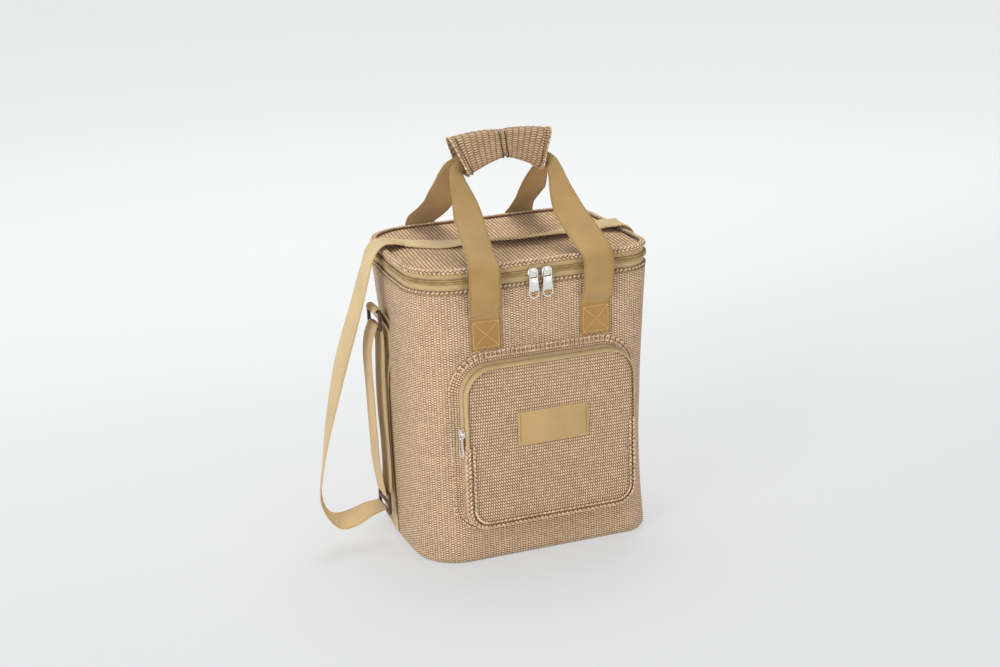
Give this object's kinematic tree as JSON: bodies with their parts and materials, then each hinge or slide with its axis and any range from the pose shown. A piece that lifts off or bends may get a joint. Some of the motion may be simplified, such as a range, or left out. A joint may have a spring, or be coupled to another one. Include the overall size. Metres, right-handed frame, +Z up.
{
  "type": "insulated lunch tote",
  "caption": "Woven straw cooler bag with a foam and foil lining, a zipped lid, two webbing handles joined by a wrap grip, a zipped front pocket and an adjustable shoulder strap.",
  "frame": {"origin": "centre of the bottom face, on the surface that the bag stands on", "axes": "X to the bag's right as seen from the front, Y to the rear, Z up; the pocket faces -Y"},
  "size_m": [0.3673, 0.232, 0.43],
  "materials": {
    "straw_weave": "matte",
    "straw_braid": "matte",
    "handle_webbing": "matte",
    "strap_webbing": "matte",
    "zip_tape": "matte",
    "zip_coil": "satin",
    "bright_nickel": "polished",
    "brown_plastic": "semi-gloss",
    "closed_cell_foam": "matte",
    "foil_liner": "metallic sheen",
    "fibre_board": "matte",
    "canvas_patch": "matte"
  },
  "bodies": {
    "bag": {"outer_shell": "straw_weave", "base_panel": "straw_weave", "base_board": "fibre_board", "base_foam": "closed_cell_foam", "wall_foam": "closed_cell_foam", "foil_liner": "foil_liner", "body_braid": "straw_braid", "lower_zip_tape": "zip_tape", "lower_zip_coil": "zip_coil", "hinge_strip": "straw_weave", "pocket_gusset": "straw_weave", "pocket_panel": "straw_weave", "pocket_rear_tape": "zip_tape", "pocket_rear_coil": "zip_coil", "front_left_anchor": "handle_webbing", "front_right_anchor": "handle_webbing", "rear_left_anchor": "handle_webbing", "rear_right_anchor": "handle_webbing", "left_side_strip": "strap_webbing", "right_side_strip": "strap_webbing", "strap_left_loop": "strap_webbing", "strap_right_drop": "strap_webbing", "strap_outer_strand": "strap_webbing", "strap_inner_strand": "strap_webbing"},
    "lid": {"lid_panel": "straw_weave", "lid_foam": "closed_cell_foam", "lid_liner": "foil_liner", "lid_braid": "straw_braid", "upper_zip_tape": "zip_tape", "upper_zip_coil": "zip_coil", "strap_lid_run": "strap_webbing"},
    "left_slider_body": {"left_slider": "bright_nickel"},
    "left_pull_body": {"left_pull": "bright_nickel"},
    "right_slider_body": {"right_slider": "bright_nickel"},
    "right_pull_body": {"right_pull": "bright_nickel"},
    "pocket_flap_body": {"pocket_flap": "straw_weave", "pocket_flap_tape": "zip_tape", "pocket_flap_coil": "zip_coil", "pocket_patch": "canvas_patch"},
    "pocket_slider_body": {"pocket_slider": "bright_nickel"},
    "pocket_pull_body": {"pocket_pull": "bright_nickel"},
    "front_handle": {"front_web_run": "handle_webbing", "front_left_leg": "handle_webbing", "front_right_leg": "handle_webbing"},
    "rear_handle": {"rear_web_run": "handle_webbing", "grip_back": "straw_weave", "rear_left_leg": "handle_webbing", "rear_right_leg": "handle_webbing"},
    "grip_wrap": {"grip_flap": "straw_weave"},
    "left_ring_body": {"left_ring": "brown_plastic"},
    "right_ring_body": {"right_ring": "brown_plastic"},
    "adjuster": {"strap_adjuster": "brown_plastic"}
  },
  "joints": [
    {"name": "lid_hinge", "type": "hinge", "parent": "bag", "child": "lid", "pos_m": [0, 0.1006, 0.3035], "axis": [-1, 0, 0], "range_deg": [0, 105], "deforming": ["hinge_strip", "strap_left_loop", "strap_right_drop"]},
    {"name": "front_handle_hinge", "type": "hinge", "parent": "bag", "child": "front_handle", "pos_m": [0, -0.108, 0.29], "axis": [1, 0, 0], "range_deg": [0, 200], "deforming": ["front_left_leg", "front_right_leg"]},
    {"name": "rear_handle_hinge", "type": "hinge", "parent": "bag", "child": "rear_handle", "pos_m": [0, 0.108, 0.29], "axis": [-1, 0, 0], "range_deg": [0, 200], "deforming": ["rear_left_leg", "rear_right_leg"]},
    {"name": "grip_flap_hinge", "type": "hinge", "parent": "rear_handle", "child": "grip_wrap", "pos_m": [0, 0, 0.4295], "axis": [-1, 0, 0], "range_deg": [0, 150], "deforming": ["grip_flap"]},
    {"name": "left_slider_slide", "type": "slide", "parent": "bag", "child": "left_slider_body", "axis": [-1, 0, 0], "range_m": [0, 0.08]},
    {"name": "left_pull_hinge", "type": "hinge", "parent": "left_slider_body", "child": "left_pull_body", "pos_m": [-0.008, -0.10425, 0.305], "axis": [-1, 0, 0], "range_deg": [0, 150]},
    {"name": "right_slider_slide", "type": "slide", "parent": "bag", "child": "right_slider_body", "axis": [1, 0, 0], "range_m": [0, 0.08]},
    {"name": "right_pull_hinge", "type": "hinge", "parent": "right_slider_body", "child": "right_pull_body", "pos_m": [0.007, -0.10425, 0.305], "axis": [-1, 0, 0], "range_deg": [0, 150]},
    {"name": "pocket_flap_hinge", "type": "hinge", "parent": "bag", "child": "pocket_flap_body", "pos_m": [0, -0.1211, 0.127], "axis": [-1, 0, 0], "range_deg": [-70, 0]},
    {"name": "pocket_slider_slide", "type": "slide", "parent": "bag", "child": "pocket_slider_body", "axis": [0, 0, 1], "range_m": [0, 0.031]},
    {"name": "pocket_pull_hinge", "type": "hinge", "parent": "pocket_slider_body", "child": "pocket_pull_body", "pos_m": [-0.09425, -0.1131, 0.1515], "axis": [0, 1, 0], "range_deg": [0, 150]},
    {"name": "left_ring_hinge", "type": "hinge", "parent": "bag", "child": "left_ring_body", "pos_m": [-0.144, 0, 0.257], "axis": [0, 1, 0], "range_deg": [0, 60], "deforming": ["strap_outer_strand", "strap_inner_strand"]},
    {"name": "right_ring_hinge", "type": "hinge", "parent": "bag", "child": "right_ring_body", "pos_m": [0.144, 0, 0.257], "axis": [0, -1, 0], "range_deg": [0, 60]},
    {"name": "adjuster_slide", "type": "slide", "parent": "bag", "child": "adjuster", "axis": [0, 0, 1], "range_m": [0, 0.09]}
  ],
  "couplings": [
    {"joint": "front_handle_hinge", "follows": "lid_hinge", "ratio": 1.9},
    {"joint": "rear_handle_hinge", "follows": "lid_hinge", "ratio": 1.9}
  ]
}
